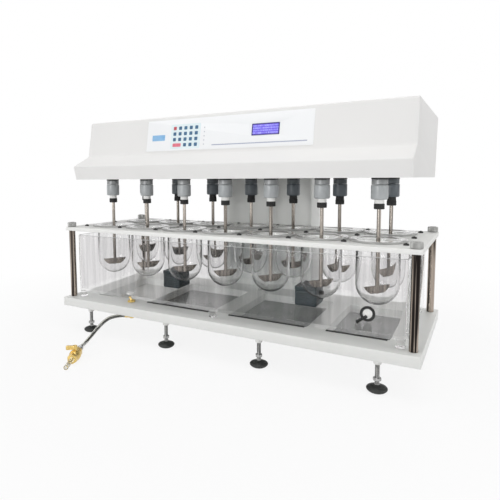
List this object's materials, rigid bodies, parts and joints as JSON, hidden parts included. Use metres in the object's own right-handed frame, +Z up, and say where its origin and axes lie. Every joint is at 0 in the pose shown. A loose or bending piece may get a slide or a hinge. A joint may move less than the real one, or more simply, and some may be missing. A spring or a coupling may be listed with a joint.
{
  "type": "tablet dissolution tester",
  "caption": "Bench dissolution tester: rows of stirred glass vessels hang in a clear water bath under a lifting head with a control panel",
  "frame": {"origin": "on the bench, under the middle of the tester's outer box without its drain hose", "axes": "+X along the rows to the right seen from the front, -Y towards the user, +Z up"},
  "size_m": [1.11, 0.8563, 0.693],
  "materials": {
    "white_paint": "satin white paint",
    "white_board": "white plastic board",
    "panel_film": "printed membrane",
    "display": "blue display behind a clear cover",
    "clear_plastic": "clear moulded plastic",
    "glass": "clear glass",
    "stainless": "turned stainless steel",
    "dark_box": "dark moulded plastic",
    "grey_plastic": "light grey moulded plastic",
    "black_plastic": "black moulded plastic",
    "column_grey": "satin grey paint",
    "brass": "machined brass",
    "hose_plastic": "clear soft plastic",
    "cast_alloy": "cast alloy",
    "belt_rubber": "moulded rubber"
  },
  "bodies": {
    "stand": {"base_tray": "white_board", "bath_tank": "clear_plastic", "circulator_left": "dark_box", "circulator_right": "dark_box", "column_cover": "column_grey", "lift_actuator": "cast_alloy", "vessel_plate": "white_board", "drain_fitting": "brass", "drain_hose": "hose_plastic", "drain_valve": "brass", "corner_post_front_left": "stainless", "corner_post_front_right": "stainless", "corner_post_rear_left": "stainless", "corner_post_rear_right": "stainless", "vessel_front_1": "glass", "vessel_front_2": "glass", "vessel_front_3": "glass", "vessel_front_4": "glass", "vessel_front_5": "glass", "vessel_front_6": "glass", "vessel_front_7": "glass", "vessel_rear_1": "glass", "vessel_rear_2": "glass", "vessel_rear_3": "glass", "vessel_rear_4": "glass", "vessel_rear_5": "glass", "vessel_rear_6": "glass", "vessel_rear_7": "glass"},
    "head": {"head_cover": "white_paint", "head_chassis": "white_paint", "head_back_cover": "white_paint", "control_panel": "panel_film", "display_window": "display", "drive_motor": "cast_alloy", "drive_belt": "belt_rubber", "lift_mast": "stainless", "actuator_rod": "stainless", "power_inlet": "black_plastic"},
    "motor_pulley": {"motor_pulley": "cast_alloy"},
    "switch_rocker": {"switch_rocker": "black_plastic"},
    "valve_lever": {"valve_lever": "brass"},
    "plate_knob_front_left": {"plate_knob_front_left": "grey_plastic"},
    "plate_knob_front_right": {"plate_knob_front_right": "grey_plastic"},
    "plate_knob_rear_left": {"plate_knob_rear_left": "grey_plastic"},
    "plate_knob_rear_right": {"plate_knob_rear_right": "grey_plastic"},
    "stirrer_front_1": {"stirrer_front_1": "stainless"},
    "stirrer_front_2": {"stirrer_front_2": "stainless"},
    "stirrer_front_3": {"stirrer_front_3": "stainless"},
    "stirrer_front_4": {"stirrer_front_4": "stainless"},
    "stirrer_front_5": {"stirrer_front_5": "stainless"},
    "stirrer_front_6": {"stirrer_front_6": "stainless"},
    "stirrer_front_7": {"stirrer_front_7": "stainless"},
    "stirrer_rear_1": {"stirrer_rear_1": "stainless"},
    "stirrer_rear_2": {"stirrer_rear_2": "stainless"},
    "stirrer_rear_3": {"stirrer_rear_3": "stainless"},
    "stirrer_rear_4": {"stirrer_rear_4": "stainless"},
    "stirrer_rear_5": {"stirrer_rear_5": "stainless"},
    "stirrer_rear_6": {"stirrer_rear_6": "stainless"},
    "stirrer_rear_7": {"stirrer_rear_7": "stainless"}
  },
  "joints": [
    {"name": "head_lift", "type": "slide", "parent": "stand", "child": "head", "axis": [0, 0, 1], "range_m": [0, 0.18]},
    {"name": "motor_spin", "type": "hinge", "parent": "head", "child": "motor_pulley", "pos_m": [0.47, -0.0865, 0.535], "axis": [0, 0, 1], "continuous": true},
    {"name": "switch_rock", "type": "hinge", "parent": "head", "child": "switch_rocker", "pos_m": [-0.4175, 0.27702, 0.57953], "axis": [-1, 0, 0], "range_deg": [0, 20]},
    {"name": "valve_turn", "type": "hinge", "parent": "stand", "child": "valve_lever", "pos_m": [-0.30974, -0.48205, 0.0162], "axis": [0, 0, 1], "range_deg": [0, 90]},
    {"name": "stirrer_front_1_spin", "type": "hinge", "parent": "head", "child": "stirrer_front_1", "pos_m": [-0.435, -0.174, 0.4], "axis": [0, 0, 1], "continuous": true},
    {"name": "stirrer_front_2_spin", "type": "hinge", "parent": "head", "child": "stirrer_front_2", "pos_m": [-0.29, -0.174, 0.4], "axis": [0, 0, 1], "continuous": true},
    {"name": "stirrer_front_3_spin", "type": "hinge", "parent": "head", "child": "stirrer_front_3", "pos_m": [-0.145, -0.174, 0.4], "axis": [0, 0, 1], "continuous": true},
    {"name": "stirrer_front_4_spin", "type": "hinge", "parent": "head", "child": "stirrer_front_4", "pos_m": [0, -0.174, 0.4], "axis": [0, 0, 1], "continuous": true},
    {"name": "stirrer_front_5_spin", "type": "hinge", "parent": "head", "child": "stirrer_front_5", "pos_m": [0.145, -0.174, 0.4], "axis": [0, 0, 1], "continuous": true},
    {"name": "stirrer_front_6_spin", "type": "hinge", "parent": "head", "child": "stirrer_front_6", "pos_m": [0.29, -0.174, 0.4], "axis": [0, 0, 1], "continuous": true},
    {"name": "stirrer_front_7_spin", "type": "hinge", "parent": "head", "child": "stirrer_front_7", "pos_m": [0.435, -0.174, 0.4], "axis": [0, 0, 1], "continuous": true},
    {"name": "stirrer_rear_1_spin", "type": "hinge", "parent": "head", "child": "stirrer_rear_1", "pos_m": [-0.435, 0.001, 0.4], "axis": [0, 0, 1], "continuous": true},
    {"name": "stirrer_rear_2_spin", "type": "hinge", "parent": "head", "child": "stirrer_rear_2", "pos_m": [-0.29, 0.001, 0.4], "axis": [0, 0, 1], "continuous": true},
    {"name": "stirrer_rear_3_spin", "type": "hinge", "parent": "head", "child": "stirrer_rear_3", "pos_m": [-0.145, 0.001, 0.4], "axis": [0, 0, 1], "continuous": true},
    {"name": "stirrer_rear_4_spin", "type": "hinge", "parent": "head", "child": "stirrer_rear_4", "pos_m": [0, 0.001, 0.4], "axis": [0, 0, 1], "continuous": true},
    {"name": "stirrer_rear_5_spin", "type": "hinge", "parent": "head", "child": "stirrer_rear_5", "pos_m": [0.145, 0.001, 0.4], "axis": [0, 0, 1], "continuous": true},
    {"name": "stirrer_rear_6_spin", "type": "hinge", "parent": "head", "child": "stirrer_rear_6", "pos_m": [0.29, 0.001, 0.4], "axis": [0, 0, 1], "continuous": true},
    {"name": "stirrer_rear_7_spin", "type": "hinge", "parent": "head", "child": "stirrer_rear_7", "pos_m": [0.435, 0.001, 0.4], "axis": [0, 0, 1], "continuous": true},
    {"name": "knob_front_left_turn", "type": "hinge", "parent": "stand", "child": "plate_knob_front_left", "pos_m": [-0.535, -0.2685, 0.353], "axis": [0, 0, 1], "continuous": true},
    {"name": "knob_front_right_turn", "type": "hinge", "parent": "stand", "child": "plate_knob_front_right", "pos_m": [0.535, -0.2685, 0.353], "axis": [0, 0, 1], "continuous": true},
    {"name": "knob_rear_left_turn", "type": "hinge", "parent": "stand", "child": "plate_knob_rear_left", "pos_m": [-0.535, 0.0955, 0.353], "axis": [0, 0, 1], "continuous": true},
    {"name": "knob_rear_right_turn", "type": "hinge", "parent": "stand", "child": "plate_knob_rear_right", "pos_m": [0.535, 0.0955, 0.353], "axis": [0, 0, 1], "continuous": true}
  ],
  "couplings": [
    {"joint": "stirrer_front_1_spin", "follows": "motor_spin", "ratio": 1},
    {"joint": "stirrer_front_2_spin", "follows": "motor_spin", "ratio": 1},
    {"joint": "stirrer_front_3_spin", "follows": "motor_spin", "ratio": 1},
    {"joint": "stirrer_front_4_spin", "follows": "motor_spin", "ratio": 1},
    {"joint": "stirrer_front_5_spin", "follows": "motor_spin", "ratio": 1},
    {"joint": "stirrer_front_6_spin", "follows": "motor_spin", "ratio": 1},
    {"joint": "stirrer_front_7_spin", "follows": "motor_spin", "ratio": 1},
    {"joint": "stirrer_rear_1_spin", "follows": "motor_spin", "ratio": 1},
    {"joint": "stirrer_rear_2_spin", "follows": "motor_spin", "ratio": 1},
    {"joint": "stirrer_rear_3_spin", "follows": "motor_spin", "ratio": 1},
    {"joint": "stirrer_rear_4_spin", "follows": "motor_spin", "ratio": 1},
    {"joint": "stirrer_rear_5_spin", "follows": "motor_spin", "ratio": 1},
    {"joint": "stirrer_rear_6_spin", "follows": "motor_spin", "ratio": 1},
    {"joint": "stirrer_rear_7_spin", "follows": "motor_spin", "ratio": 1}
  ]
}
